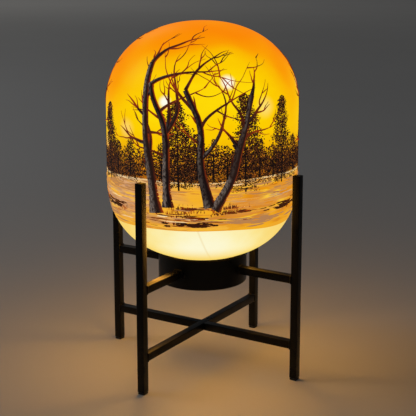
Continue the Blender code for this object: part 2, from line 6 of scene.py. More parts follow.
import bmesh
import bpy
import numpy as np
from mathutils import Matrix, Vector

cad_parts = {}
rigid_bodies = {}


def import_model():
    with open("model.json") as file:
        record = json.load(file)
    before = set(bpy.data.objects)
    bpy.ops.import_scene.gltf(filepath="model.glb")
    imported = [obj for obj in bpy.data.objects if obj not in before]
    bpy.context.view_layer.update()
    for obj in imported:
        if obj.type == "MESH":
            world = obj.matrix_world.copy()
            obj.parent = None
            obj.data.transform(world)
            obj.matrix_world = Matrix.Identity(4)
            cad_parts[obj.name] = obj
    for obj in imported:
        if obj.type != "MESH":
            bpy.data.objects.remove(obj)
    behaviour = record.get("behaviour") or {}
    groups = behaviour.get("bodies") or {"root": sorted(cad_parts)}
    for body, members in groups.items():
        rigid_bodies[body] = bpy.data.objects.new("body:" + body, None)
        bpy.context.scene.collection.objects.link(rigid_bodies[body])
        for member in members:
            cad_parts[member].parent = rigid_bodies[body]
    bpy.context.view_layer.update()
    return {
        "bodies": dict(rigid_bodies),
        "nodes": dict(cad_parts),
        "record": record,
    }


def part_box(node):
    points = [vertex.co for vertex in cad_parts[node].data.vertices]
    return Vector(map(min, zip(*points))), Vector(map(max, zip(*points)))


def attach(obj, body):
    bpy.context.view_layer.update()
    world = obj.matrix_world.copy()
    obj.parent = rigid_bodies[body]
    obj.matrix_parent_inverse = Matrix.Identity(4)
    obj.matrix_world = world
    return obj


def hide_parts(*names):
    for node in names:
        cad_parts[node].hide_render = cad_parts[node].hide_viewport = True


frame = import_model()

MM = 0.001

# Sizes of the glass that its outline is worked out from
SHADE_WALL = 2.2 * MM
LOWER_END = 67.2 * MM
STRAIGHT_BAND = 53.2 * MM
UPPER_END = 65.4 * MM
LOWER_POWER = 2.44
UPPER_POWER = 2.17
SHADE_LOW, SHADE_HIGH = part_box("glass_shade")
SHADE_RADIUS = SHADE_HIGH.x
BAND_TOP = SHADE_HIGH.z - UPPER_END
BAND_BOTTOM = BAND_TOP - STRAIGHT_BAND
NECK_RADIUS = 32.0 * MM
COLUMNS = 256  # round the shade
SKIN = 0.5 * MM  # how far the bare glass stands back from the solid, to leave room for the paint

# Heights of the painted scene
PAINT_EDGE = 122.5 * MM
SNOW_LINE = 163.0 * MM
SKY_BURY = 3.0 * MM  # how far the sky runs down behind the snow
FRONT = math.radians(31.84)  # bearing of the painted front, from -Y towards +X
FORWARD = (math.sin(FRONT), -math.cos(FRONT), 0)
RIGHTWARD = (math.cos(FRONT), math.sin(FRONT), 0)
SKY_LIFT = 0.10 * MM
SNOW_LIFT = 0.24 * MM
DAB_LIFT = 0.45 * MM
GROUND_LIFT = 0.62 * MM

BAR = 2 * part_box("leg_front")[1].x
WELD = 0.8 * MM
EMBED = 0.3 * MM  # how far a level bar's ends run into what they're welded to


# Camera, lights and floor


def make_camera():
    back, side, height = 0.8012, 0.0044, 0.3230
    camera = bpy.data.objects.new("camera", bpy.data.cameras.new("camera"))
    camera.location = (
        side * RIGHTWARD[0] + back * FORWARD[0],
        side * RIGHTWARD[1] + back * FORWARD[1],
        height,
    )
    camera.rotation_euler = (math.radians(90 - 11.41), 0, FRONT)
    camera.data.lens = 89.5
    camera.data.shift_y = -0.1034
    bpy.context.scene.collection.objects.link(camera)
    bpy.context.scene.camera = camera


def area_light(name, place, target, size, power, colour):
    data = bpy.data.lights.new(name, "AREA")
    data.shape = "DISK"
    data.size = size
    data.energy = power
    data.color = colour
    light = bpy.data.objects.new(name, data)
    light.location = place
    light.rotation_euler = (Vector(target) - Vector(place)).to_track_quat("-Z", "Y").to_euler()
    bpy.context.scene.collection.objects.link(light)
    return light


def make_lights(shade):
    """A dim even room, one soft light from above, and the warm glow that the shade throws."""
    world = bpy.data.worlds.new("room")
    world.use_nodes = True
    world.node_tree.nodes["Background"].inputs["Color"].default_value = (0.97, 1.0, 1.03, 1)
    world.node_tree.nodes["Background"].inputs["Strength"].default_value = 0.062
    bpy.context.scene.world = world
    bpy.context.scene.view_settings.view_transform = "Standard"
    area_light("studio", (-2.4, -1.0, 1.7), (-0.5, 0.0, 0.0), 1.4, 8.2, (0.97, 1.0, 1.05))
    area_light("far_studio", (-5.0, 4.6, 3.2), (-4.2, 5.6, 0.0), 2.0, 15.0, (1.0, 0.99, 0.95))
    clear = bpy.data.collections.new("glow_passes")
    for piece in shade:
        clear.objects.link(piece)
    for name, height, radius, power in (
        ("low_glow", 0.098, 0.056, 0.92), ("high_glow", 0.17, 0.07, 0.08),
    ):
        glow = bpy.data.lights.new(name, "POINT")
        glow.energy = power
        glow.color = (1.0, 0.44, 0.07)
        glow.shadow_soft_size = radius
        lamp = bpy.data.objects.new(name, glow)
        lamp.location = (0, 0, height)
        bpy.context.scene.collection.objects.link(lamp)
        lamp.parent = frame["bodies"]["light_unit"]
        lamp.light_linking.blocker_collection = clear
    for link in clear.collection_objects:
        link.light_linking.link_state = "EXCLUDE"


def make_floor():
    mesh = bpy.data.meshes.new("floor")
    bm = bmesh.new()
    bmesh.ops.create_circle(bm, cap_ends=True, radius=30, segments=96)
    bm.to_mesh(mesh)
    bm.free()
    floor = bpy.data.objects.new("floor", mesh)
    bpy.context.scene.collection.objects.link(floor)
    tree, shader = new_finish(floor, "pale_floor", (0.62, 0.6, 0.58), 0.55)
    place = coords(tree)
    mottle = noise(place, 3.0, 3)
    mottled = mix_colour(mottle, (0.60, 0.58, 0.56), (0.65, 0.63, 0.61))
    feed(shader.inputs["Base Color"], mottled)


# Materials


def tint(red, green, blue):
    """A screen colour of three numbers up to 255, as linear light."""
    share = np.array([red, green, blue]) / 255
    linear = np.where(share <= 0.04045, share / 12.92, ((share + 0.055) / 1.055) ** 2.4)
    return tuple(float(value) for value in linear)


def put(tree, kind, *values, out=0, **settings):
    """Adds a node, sets or links its inputs in order, and returns one of its outputs."""
    made = tree.nodes.new(kind)
    for key, value in settings.items():
        setattr(made, key, value)
    for socket, value in zip(made.inputs, values):
        feed(socket, value)
    return made.outputs[out]


def tree_of(*values):
    """The node tree that the first socket among these values is in."""
    return next(value.id_data for value in values if isinstance(value, bpy.types.NodeSocket))


def feed(socket, value):
    if isinstance(value, bpy.types.NodeSocket):
        socket.id_data.links.new(value, socket)
    elif isinstance(value, tuple) and len(value) == 3 and socket.type == "RGBA":
        socket.default_value = (*value, 1)
    else:
        socket.default_value = value


def sums(operation, first, second=0.0):
    tree = tree_of(first, second)
    return put(tree, "ShaderNodeMath", first, second, operation=operation)


def times(first, second):
    return sums("MULTIPLY", first, second)


def plus(first, second):
    return sums("ADD", first, second)


def minus(first, second):
    return sums("SUBTRACT", first, second)


def level_along(place, direction):
    """How far a place lies along a direction."""
    tree = place.id_data
    return put(tree, "ShaderNodeVectorMath", place, direction, out=1, operation="DOT_PRODUCT")


def distance_to(place, spot):
    return put(place.id_data, "ShaderNodeVectorMath", place, spot, out=1, operation="DISTANCE")


def height_of(place):
    return put(place.id_data, "ShaderNodeSeparateXYZ", place, out=2)


def between(value, low, high, to_low=0.0, to_high=1.0):
    """A smooth step of a value from low to high."""
    return put(
        value.id_data, "ShaderNodeMapRange", value, low, high, to_low, to_high,
        interpolation_type="SMOOTHSTEP",
    )


def mix_colour(factor, first, second):
    made = tree_of(factor, first, second).nodes.new("ShaderNodeMix")
    made.data_type = "RGBA"
    feed(made.inputs[0], factor)
    feed(made.inputs[6], first)
    feed(made.inputs[7], second)
    return made.outputs[2]


def painted(base, mask, strength, colour):
    """A screen colour laid over a base where a mask shows, as strongly as strength."""
    return mix_colour(times(mask, strength), base, tint(*colour))


def ramp(factor, stops):
    """A colour ramp of (place, screen colour) stops."""
    made = factor.id_data.nodes.new("ShaderNodeValToRGB")
    bar = made.color_ramp.elements
    for _ in stops[2:]:
        bar.new(0.5)
    for element, (place, colour) in zip(bar, stops):
        element.position = place
        element.color = (*tint(*colour), 1)
    feed(made.inputs[0], factor)
    return made.outputs[0]


def noise(place, scale, detail=2, roughness=0.5, distortion=0.0):
    made = place.id_data.nodes.new("ShaderNodeTexNoise")
    for name, value in (
        ("Vector", place), ("Scale", scale), ("Detail", detail), ("Roughness", roughness),
        ("Distortion", distortion),
    ):
        feed(made.inputs[name], value)
    return made.outputs[0]


def coords(tree, stretch=(1, 1, 1)):
    place = put(tree, "ShaderNodeTexCoord", out=3)
    if stretch == (1, 1, 1):
        return place
    return put(tree, "ShaderNodeVectorMath", place, stretch, operation="MULTIPLY")


def new_finish(obj, name, colour, roughness, metallic=0.0):
    """Gives the object a new Principled material, and returns its node tree and shader."""
    made = bpy.data.materials.new(name)
    made.use_nodes = True
    shader = made.node_tree.nodes["Principled BSDF"]
    shader.inputs["Base Color"].default_value = (*colour, 1)
    shader.inputs["Roughness"].default_value = roughness
    shader.inputs["Metallic"].default_value = metallic
    obj.data.materials.clear()
    obj.data.materials.append(made)
    return made.node_tree, shader


def new_group(name, inputs, outputs):
    """An empty node group with these named sockets, and its two end nodes."""
    group = bpy.data.node_groups.new(name, "ShaderNodeTree")
    for socket, kind, default in inputs:
        made = group.interface.new_socket(socket, in_out="INPUT", socket_type=kind)
        if default is not None:
            made.default_value = default
    for socket, kind in outputs:
        group.interface.new_socket(socket, in_out="OUTPUT", socket_type=kind)
    return group, group.nodes.new("NodeGroupInput"), group.nodes.new("NodeGroupOutput")


def make_brush_group():
    """Long level brush marks: noise squeezed in height, in two sizes, with a slow drift of tone."""
    group, start, end = new_group(
        "brush_marks",
        [("Vector", "NodeSocketVector", None), ("Scale", "NodeSocketFloat", 40.0),
         ("Squeeze", "NodeSocketFloat", 9.0)],
        [("Marks", "NodeSocketFloat"), ("Drift", "NodeSocketFloat")],
    )
    squeeze = put(group, "ShaderNodeCombineXYZ", 1.0, 1.0, start.outputs["Squeeze"])
    vector = start.outputs["Vector"]
    place = put(group, "ShaderNodeVectorMath", vector, squeeze, operation="MULTIPLY")
    broad = noise(place, start.outputs["Scale"], 3, 0.6, 0.6)
    fine_scale = times(start.outputs["Scale"], 4.0)
    fine = noise(place, fine_scale, 2, 0.5)
    marks = put(group, "ShaderNodeMapRange", plus(broad, times(fine, 0.5)),
                0.55, 0.95, 0.0, 1.0)
    drift = noise(place, times(start.outputs["Scale"], 0.35), 2)
    feed(end.inputs["Marks"], marks)
    feed(end.inputs["Drift"], drift)
    return group


def make_coat_group():
    """The fine orange peel of a powder coat, with a slow change of gloss."""
    group, start, end = new_group(
        "coat_grain",
        [("Vector", "NodeSocketVector", None), ("Scale", "NodeSocketFloat", 1800.0)],
        [("Height", "NodeSocketFloat"), ("Gloss", "NodeSocketFloat")],
    )
    place = start.outputs["Vector"]
    grain = noise(place, start.outputs["Scale"], 2, 0.55)
    slow = noise(place, 60.0, 3)
    feed(end.inputs["Height"], grain)
    feed(end.inputs["Gloss"], slow)
    return group


def use_group(group, **values):
    """The outputs of a node group that is given these inputs."""
    made = values["Vector"].id_data.nodes.new("ShaderNodeGroup")
    made.node_tree = group
    for name, value in values.items():
        feed(made.inputs[name], value)
    return made.outputs


def bump(shader, height, distance, strength=1.0):
    made = shader.id_data.nodes.new("ShaderNodeBump")
    made.inputs["Distance"].default_value = distance
    made.inputs["Strength"].default_value = strength
    feed(made.inputs["Height"], height)
    feed(shader.inputs["Normal"], made.outputs[0])


BRUSH = make_brush_group()
COAT = make_coat_group()


# Meshes


def mesh_piece(name, points, face_sets):
    """A mesh from points and lists of faces, each list with one number of corners."""
    mesh = bpy.data.meshes.new(name)
    mesh.vertices.add(len(points))
    mesh.vertices.foreach_set("co", np.asarray(points, np.float32).ravel())
    corners = np.concatenate([faces.ravel() for faces in face_sets]).astype(np.int32)
    counts = np.concatenate([np.full(len(faces), faces.shape[1]) for faces in face_sets])
    mesh.loops.add(len(corners))
    mesh.loops.foreach_set("vertex_index", corners)
    mesh.polygons.add(len(counts))
    starts = np.concatenate([[0], np.cumsum(counts)[:-1]]).astype(np.int32)
    mesh.polygons.foreach_set("loop_start", starts)
    mesh.update(calc_edges=True)
    mesh.validate()
    mesh.shade_smooth()
    piece = bpy.data.objects.new(name, mesh)
    bpy.context.scene.collection.objects.link(piece)
    return piece


def close_seams(piece, sharp=40):
    """Merges doubled points at poles, turns the faces outwards and marks the sharp edges."""
    bm = bmesh.new()
    bm.from_mesh(piece.data)
    bmesh.ops.remove_doubles(bm, verts=bm.verts, dist=1e-6)
    bmesh.ops.dissolve_degenerate(bm, edges=bm.edges, dist=1e-7)
    bmesh.ops.recalc_face_normals(bm, faces=bm.faces)
    bm.to_mesh(piece.data)
    bm.free()
    piece.data.shade_smooth()
    piece.data.set_sharp_from_angle(angle=math.radians(sharp))


def loop_faces(rows, columns, closed_rows=True):
    """Quads of a grid of rows by columns, closed round its columns and, if asked, its rows."""
    row = np.arange(rows if closed_rows else rows - 1)[:, None]
    column = np.arange(columns)[None, :]
    below, above = row, (row + 1) % rows
    beside = (column + 1) % columns
    quads = [below * columns + column, below * columns + beside,
             above * columns + beside, above * columns + column]
    return np.stack(quads, axis=-1).reshape(-1, 4)


def end_caps(rows, columns):
    """The faces that close the first and last row of a grid."""
    last = (rows - 1) * columns
    return np.stack([np.arange(columns)[::-1], last + np.arange(columns)])


def turned(name, outline, columns=COLUMNS):
    """A closed outline of (radius, height) points, turned about the lantern's axis."""
    outline = np.asarray(outline, float)
    angle = np.linspace(0, 2 * np.pi, columns, endpoint=False)
    points = np.stack([
        outline[:, :1] * np.sin(angle), -outline[:, :1] * np.cos(angle),
        np.repeat(outline[:, 1:], columns, axis=1),
    ], axis=-1)
    piece = mesh_piece(name, points.reshape(-1, 3), [loop_faces(len(outline), columns)])
    close_seams(piece)
    return piece


def rounded(corners, radius, steps=5):
    """An outline with each corner cut by an arc of this radius, as far as its sides allow."""
    corners = np.asarray(corners, float)
    made = []
    for before, corner, after in zip(np.roll(corners, 1, 0), corners, np.roll(corners, -1, 0)):
        to_before, to_after = before - corner, after - corner
        reach = min(radius, np.hypot(*to_before) / 2.2, np.hypot(*to_after) / 2.2)
        if np.abs(corner[0]) < 1e-9:
            made.append(corner[None])
            continue
        start = corner + to_before / np.hypot(*to_before) * reach
        finish = corner + to_after / np.hypot(*to_after) * reach
        t = np.linspace(0, 1, steps)[:, None]
        made.append((1 - t) ** 2 * start + 2 * t * (1 - t) * corner + t**2 * finish)
    return np.vstack(made)


# The glass's outside, as arc length up its outline


OUTLINE_STEPS = 900  # along each rounded end


def outline_table(radius, lower, upper, steps=OUTLINE_STEPS):
    """Radius and height up a side whose ends follow r^n + h^n = 1, from lower tip to top."""
    turn = np.linspace(0, np.pi / 2, steps)
    low_r = radius * np.sin(turn) ** (2 / LOWER_POWER)
    low_z = BAND_BOTTOM - lower * np.cos(turn) ** (2 / LOWER_POWER)
    high_r = radius * np.cos(turn) ** (2 / UPPER_POWER)
    high_z = BAND_TOP + upper * np.sin(turn) ** (2 / UPPER_POWER)
    high_r[-1] = 0
    return np.concatenate([low_r, high_r]), np.concatenate([low_z, high_z])


OUT_R, OUT_Z = outline_table(SHADE_RADIUS - SKIN / 4, LOWER_END, UPPER_END - SKIN)
OUT_ARC = np.concatenate([[0], np.cumsum(np.hypot(np.diff(OUT_R), np.diff(OUT_Z)))])
OUT_ARC += np.arange(len(OUT_ARC)) * 1e-12


def arc_at(height):
    return np.interp(height, OUT_Z, OUT_ARC)


def radius_at(arc):
    return np.interp(arc, OUT_ARC, OUT_R)


def below_band(radius, values):
    """The value in the outline table where the lower end has this radius."""
    return float(np.interp(radius, OUT_R[:OUTLINE_STEPS], values[:OUTLINE_STEPS]))


def on_glass(bearing, arc, lift):
    """Points on the glass at bearings in radians and arc lengths, raised off it by lift."""
    radius = radius_at(arc)
    height = np.interp(arc, OUT_ARC, OUT_Z)
    step = 0.4 * MM
    rise_r = radius_at(arc + step) - radius_at(arc - step)
    rise_z = np.interp(arc + step, OUT_ARC, OUT_Z) - np.interp(arc - step, OUT_ARC, OUT_Z)
    length = np.hypot(rise_r, rise_z)
    out_r = radius + lift * rise_z / length
    out_z = height - lift * rise_r / length + 0 * bearing
    return np.stack([out_r * np.sin(bearing), -out_r * np.cos(bearing), out_z], axis=-1)


def ripple(bearing, seed, count=7):
    """A smooth closed wave round the shade, between about -1 and 1."""
    rng = np.random.default_rng(seed)
    wave = np.zeros_like(bearing)
    for order in range(1, count + 1):
        part = np.cos(order * bearing + rng.uniform(0, 6.28))
        wave = wave + part / order**0.7 * rng.uniform(0.3, 1)
    return wave / 1.6


def snow_line(bearing):
    """The height of the snow's far edge: level, with a small ripple."""
    return SNOW_LINE + 2.2 * MM * ripple(bearing, 5, 5)


def paint_edge(bearing):
    """The height of the snow's lower edge: level, raised at the front, with a small ripple."""
    front = np.maximum(np.cos(bearing - FRONT), 0) ** 2
    return PAINT_EDGE + 4.6 * MM * front + 1.3 * MM * ripple(bearing, 8, 11)


def paint_coat(name, low_edge, high_edge, lift, rows):
    """A thin coat that follows the glass between two edges, its rims turned in to the glass."""
    bearing = np.linspace(0, 2 * np.pi, COLUMNS, endpoint=False)
    low, high = arc_at(low_edge(bearing)), arc_at(high_edge(bearing))
    share = np.linspace(0, 1, rows)[:, None]
    outer = on_glass(bearing + 0 * share, low + (high - low) * share, lift)
    back = np.linspace(1, 0, rows // 2)[:, None]
    inner = on_glass(bearing + 0 * back, low + (high - low) * back, -0.4 * MM)
    points = np.concatenate([outer, inner])
    piece = mesh_piece(name, points.reshape(-1, 3), [loop_faces(len(points), COLUMNS)])
    close_seams(piece, 60)
    return piece


def make_shade_pieces():
    """The glass, turned from its two sides and its neck, and the coats of sky and snow on it."""
    steps = 60
    in_r, in_z = outline_table(
        SHADE_RADIUS - SHADE_WALL, LOWER_END - SHADE_WALL, UPPER_END - SHADE_WALL, steps
    )
    out_arc = np.linspace(below_band(NECK_RADIUS, OUT_ARC), OUT_ARC[-1], 150)
    outer = np.stack([np.interp(out_arc, OUT_ARC, side) for side in (OUT_R, OUT_Z)], axis=1)
    inside = NECK_RADIUS - SHADE_WALL
    kept = in_r[:steps] > inside
    inner = np.stack([in_r, in_z], axis=1)
    inner = np.vstack([inner[:steps][kept], inner[steps:]])[::-1]
    low = SHADE_LOW.z
    neck = [(inside, low + 0.5 * MM), (inside + 0.5 * MM, low), (NECK_RADIUS - 0.5 * MM, low),
            (NECK_RADIUS, low + 0.5 * MM)]
    glass = turned("frosted_glass", np.vstack([neck, outer, inner]))
    sky = paint_coat(
        "painted_sky", lambda b: snow_line(b) - SKY_BURY, lambda b: 0 * b + SHADE_HIGH.z,
        SKY_LIFT, 110,
    )
    snow = paint_coat("painted_snow", paint_edge, snow_line, SNOW_LIFT, 60)
    return glass, sky, snow


# Paint strokes laid on the glass


STATIONS = 18
ACROSS = np.array([-1.0, -0.62, 0.0, 0.62, 1.0, 0.0])
RAISED = np.array([-0.15, 0.8, 1.0, 0.8, -0.15, -0.9])


class Strokes:
    """Gathers strokes of one paint, then lays them all as one mesh of closed, tapered ribbons."""

    def __init__(self):
        self.rows = []

    def add(self, bearing, arc, width, tone=0.5, lift=0.25 * MM):
        """One stroke: a centre line of bearings and arcs, half widths along it, and a tone."""
        old = np.linspace(0, 1, len(bearing))
        new = np.linspace(0, 1, STATIONS)
        width = np.interp(new, np.linspace(0, 1, len(width)), width)
        self.rows.append((np.interp(new, old, bearing), np.interp(new, old, arc), width,
                          np.full(STATIONS, tone), np.full(STATIONS, lift)))

    def lay(self, name):
        bearing, arc, width, tone, lift = (np.array(part) for part in zip(*self.rows))
        radius = np.maximum(radius_at(arc), 4 * MM)
        run, rise = np.gradient(bearing, axis=1) * radius, np.gradient(arc, axis=1)
        length = np.maximum(np.hypot(run, rise), 1e-9)
        side = width[..., None] * ACROSS
        at_bearing = bearing[..., None] - (rise / length / radius)[..., None] * -side
        at_arc = arc[..., None] - (run / length)[..., None] * side
        height = RAISED * lift[..., None] * np.clip(width[..., None] / (0.6 * MM), 0.45, 1)
        height = np.where(RAISED < 0, RAISED * 0.3 * MM, height)
        points = on_glass(at_bearing, at_arc, height)
        count, ring = len(bearing), len(ACROSS)
        one = loop_faces(STATIONS, ring, closed_rows=False)
        starts = np.arange(count)[:, None, None] * STATIONS * ring
        quads = (starts + one).reshape(-1, 4)
        caps = starts + end_caps(STATIONS, ring)
        piece = mesh_piece(name, points.reshape(-1, 3), [quads, caps.reshape(-1, ring)])
        along = np.linspace(0, 1, STATIONS)[None, :, None] + 0 * points[..., 0]
        data = np.stack([
            (ACROSS + 1) / 2 + 0 * along, along, width[..., None] / (4 * MM) + 0 * along,
            tone[..., None] + 0 * along,
        ], axis=-1)
        keep_paint(piece, data)
        return piece


def keep_paint(piece, values):
    """Stores four numbers at each point for its finish, then turns the faces outwards."""
    store = piece.data.attributes.new("paint", "FLOAT_COLOR", "POINT")
    store.data.foreach_set("color", values.astype(np.float32).ravel())
    bm = bmesh.new()
    bm.from_mesh(piece.data)
    bmesh.ops.recalc_face_normals(bm, faces=bm.faces)
    bm.to_mesh(piece.data)
    bm.free()


def wander(rng, count, size):
    """A slow random drift, as bends in a hand-drawn line."""
    knots = rng.normal(0, size, 6)
    return np.interp(np.linspace(0, 1, count), np.linspace(0, 1, 6), knots)


def limb_line(bearing, arc, headings, length, rng, sway):
    """A line that turns through headings, in radians from level towards the right."""
    t = np.linspace(0, 1, STATIONS)
    angle = np.interp(t, np.linspace(0, 1, len(headings)), headings) + wander(rng, STATIONS, sway)
    step = length / (STATIONS - 1)
    rise = np.concatenate([[0], np.cumsum(np.sin(angle[:-1]))]) * step
    run = np.concatenate([[0], np.cumsum(np.cos(angle[:-1]))]) * step
    arcs = np.clip(arc + rise, 0, OUT_ARC[-1] - 12 * MM)
    radius = np.maximum(radius_at(arcs), 20 * MM)
    turns = np.concatenate([[0], np.cumsum(np.diff(run) / radius[:-1])])
    return bearing + turns, arcs, angle


def draw_limb(bark, bearing, arc, headings, length, width, tip, rng, depth):
    """One limb of paint, whose half width goes from width to tip, thick at a tree's foot."""
    line, arcs, angle = limb_line(bearing, arc, headings, length, rng, 0.09 + 0.04 * depth)
    t = np.linspace(0, 1, STATIONS)
    widths = width + (tip - width) * t**0.8
    if depth == 0:
        widths = widths * (1.06 + 0.5 * np.exp(-t * 12))
    widths = np.maximum(widths * (1 + 0.08 * wander(rng, STATIONS, 1.0)), 0.12 * MM)
    if depth:
        widths[-1] = 0.08 * MM
    bark.add(line, arcs, widths, rng.uniform(0, 1), (0.95 - 0.15 * depth) * MM)
    return line, arcs, angle, widths


def twigs(bark, limb, length, rng, depth, count):
    """Limbs that leave a drawn one, on alternate sides, curving back towards its heading."""
    line, arcs, angle, widths = limb
    side = rng.choice([-1, 1])
    for share in np.sort(rng.uniform(0.3, 1.0, count)):
        at = min(int(share * (STATIONS - 1)), STATIONS - 2)
        side = -side
        leave = side * rng.uniform(0.4, 0.95)
        start = angle[at] + leave
        middle = start - leave * rng.uniform(0, 0.8)
        headings = (start, middle, start - leave * rng.uniform(-0.4, 1.3))
        reach = length * rng.uniform(0.34, 0.68)
        width = max(widths[at] * rng.uniform(0.65, 0.9), 0.62 * MM)
        twig = draw_limb(bark, line[at], arcs[at], headings, reach, width, 0.16 * MM, rng, depth)
        if depth < 3 and reach > 14 * MM:
            twigs(bark, twig, reach, rng, depth + 1, 1)


def grow(bark, tree):
    """A trunk, its main limbs and their twigs, from a row of the table of trees."""
    bearing, height, headings, length, width, limbs, seed = tree
    rng = np.random.default_rng(seed)
    trunk = draw_limb(bark, math.radians(bearing), arc_at(height * MM), np.radians(headings),
                      length * MM, width * MM, 0.5 * width * MM, rng, 0)
    line, arcs, _, widths = trunk
    for share, turns, reach, thick in limbs:
        at = min(int(share * (STATIONS - 1)), STATIONS - 1)
        limb = draw_limb(bark, line[at], arcs[at], np.radians(turns), reach * MM,
                         max(widths[at] * thick, 0.8 * MM), 0.2 * MM, rng, 1)
        twigs(bark, limb, reach * MM, rng, 2, 2)
    twigs(bark, trunk, 0.22 * length * MM, rng, 2, 2)


# Each bare tree: bearing and height of its foot, headings up its trunk, length and half width,
# then its limbs as (share of the trunk, headings, length, share of the width), and a seed.
# Degrees and mm, and a heading of 90 is straight up.
WIND_BLOWN = (
    (1.0, (62, 38, 20), 44, 1.0), (0.97, (100, 84, 96), 26, 0.8),
    (0.84, (50, 22, 4, 10), 62, 0.7), (0.70, (150, 132, 146), 24, 0.55),
    (0.52, (172, 150, 160), 30, 0.5), (0.56, (18, -6, 40), 26, 0.5),
    (0.40, (72, 108, 96), 52, 0.5),
)
BROAD = (
    (0.62, (52, 84, 100, 60), 64, 0.8), (0.60, (70, 96, 84, 40), 50, 0.7),
    (0.8, (40, 20, 34), 40, 0.65), (0.95, (130, 100, 118), 22, 0.8),
    (0.44, (160, 176, 150), 34, 0.5), (0.72, (150, 128, 150), 26, 0.5),
)
FORKED = (
    (0.42, (48, 62, 96, 140), 62, 0.85), (0.70, (58, 30, 12), 54, 0.6),
    (0.86, (140, 120, 96), 34, 0.8), (1.0, (66, 40, 14), 46, 0.8),
    (0.55, (150, 134, 120), 30, 0.5),
)
LEANING = (
    (0.55, (110, 128, 112), 30, 0.7), (0.72, (96, 122, 104, 130), 46, 0.6),
    (0.82, (40, 58, 74), 36, 0.7), (1.0, (78, 64, 84), 22, 0.9),
    (0.65, (24, 10, 26), 30, 0.45),
)
BARE_TREES = (
    (5.0, 139, (98, 97, 95, 92, 88), 112, 4.5, WIND_BLOWN, 31),
    (12.5, 144, (94, 84, 88, 112, 108), 92, 4.0, BROAD, 12),
    (36.5, 145, (106, 99, 88, 116, 122), 88, 3.8, FORKED, 7),
    (38.6, 143, (58, 70, 78, 72, 62), 88, 3.9, LEANING, 18),
    (124, 138, (84, 90, 98, 92), 104, 4.0, BROAD, 3),
    (137, 141, (98, 92, 84), 80, 3.2, LEANING, 44),
    (172, 136, (96, 94, 90, 84), 104, 4.2, WIND_BLOWN, 25),
    (203, 139, (82, 80, 92, 104), 92, 3.3, BROAD, 16),
    (211, 140, (108, 98, 90), 84, 2.9, FORKED, 37),
    (264, 137, (90, 96, 92, 88), 104, 3.6, FORKED, 58),
    (298, 140, (98, 92, 100), 84, 3.3, LEANING, 9),
)


def make_bare_trees():
    bark = Strokes()
    for tree in BARE_TREES:
        grow(bark, tree)
    return bark.lay("painted_bare_trees")


# Bearing, foot height, height of the tree and half width, in degrees and mm
CONIFERS = (
    (-35, 158, 58, 15), (-25, 159, 30, 11), (-13, 159, 34, 11), (9, 159, 32, 6),
    (19, 158, 64, 16), (29, 159, 40, 11), (38, 159, 36, 7), (46, 159, 26, 10),
    (57, 155, 72, 15), (66, 159, 34, 12), (76, 158, 30, 13), (84, 159, 64, 13),
    (98, 158, 34, 14), (119, 158, 56, 14), (131, 158, 34, 14), (143, 158, 62, 14),
    (153, 158, 36, 13), (171, 158, 56, 14), (183, 158, 38, 15), (194, 158, 62, 14),
    (226, 158, 58, 14), (237, 158, 36, 14), (249, 158, 62, 14), (279, 158, 48, 14),
    (292, 158, 60, 14), (304, 158, 36, 13),
)
FRONT_CONIFERS, FAR_CONIFERS = CONIFERS[:13], CONIFERS[13:]


def conifer_dabs(conifers, crowd, rng):
    """Bearing, arc and size of every dab of these conifers, crowded more on the tall ones."""
    bearings, arcs, sizes = [], [], []
    for bearing, foot, tall, wide in conifers:
        count = int(tall * wide * (crowd if tall > 50 else 1.9))
        up = rng.beta(1.0, 1.12, count)
        tiers = 0.84 + 0.16 * np.cos(up * tall / 13 * 2 * np.pi + rng.uniform(0, 6))
        lean = 0.14 * wide * np.sin(up * 7 + rng.uniform(0, 6))
        edge = wide * np.minimum(1.12 * (1 - up) ** 0.42, 0.75 + 1.2 * up) * tiers + 0.6
        across = rng.uniform(-1, 1, count)
        across = np.where(rng.uniform(0, 1, count) < 0.3, across * 1.25, across * 0.86)
        across = lean + across * edge * rng.uniform(0.75, 1.1, count)
        arc = arc_at((foot + 2 + up * (tall - 2)) * MM) - np.abs(across) * 0.28 * MM
        radius = radius_at(arc)
        bearings.append(math.radians(bearing) + across * MM / radius)
        arcs.append(arc)
        sizes.append(rng.uniform(0.30, 0.80, count) * (1 - 0.25 * up) * MM)
    return (np.concatenate(part) for part in (bearings, arcs, sizes))


def low_wood_dabs(rng):
    """Bearing, arc and size of the dabs of the low woods that run along the snow's far edge."""
    count = 11500
    around = rng.uniform(0, 2 * np.pi, count)
    crest = np.maximum(18 + 13 * ripple(around, 3, 9), 2.5)
    gap = np.maximum(2 + 5 * ripple(around, 21, 11), 0)
    arcs = arc_at(snow_line(around) + (rng.beta(1, 1.5, count) * crest + gap) * MM)
    return around, arcs, rng.uniform(0.28, 0.78, count) * MM


def lay_dabs(name, dabs, rng):
    """Thousands of small raised dabs, each a low five-sided dome turned its own way."""
    bearing, arc, size = dabs
    count, sides = len(bearing), 5
    turn = rng.uniform(0, np.pi, count)[:, None]
    corner = np.linspace(0, 2 * np.pi, sides, endpoint=False)[None, :]
    long = size[:, None] * rng.uniform(1.0, 1.9, count)[:, None] * np.cos(corner)
    short = size[:, None] * np.sin(corner)
    across = long * np.cos(turn) - short * np.sin(turn)
    up = long * np.sin(turn) + short * np.cos(turn)
    radius = radius_at(arc)[:, None]
    rim = on_glass(bearing[:, None] + across / radius, arc[:, None] + up, 0.05 * MM)
    top = on_glass(bearing, arc, DAB_LIFT)[:, None]
    points = np.concatenate([rim, top], axis=1)
    start = np.arange(count)[:, None, None] * (sides + 1)
    edge = np.arange(sides)
    fan = np.stack([edge, (edge + 1) % sides, np.full(sides, sides)], axis=1)
    floor = np.arange(sides)[::-1][None]
    piece = mesh_piece(name, points.reshape(-1, 3), [
        (start + fan).reshape(-1, 3), (start + floor).reshape(-1, sides),
    ])
    tone = np.repeat(rng.uniform(0, 1, count), sides + 1)
    keep_paint(piece, np.stack([tone] * 4, axis=1))
    finish_stipple(piece)
    return piece


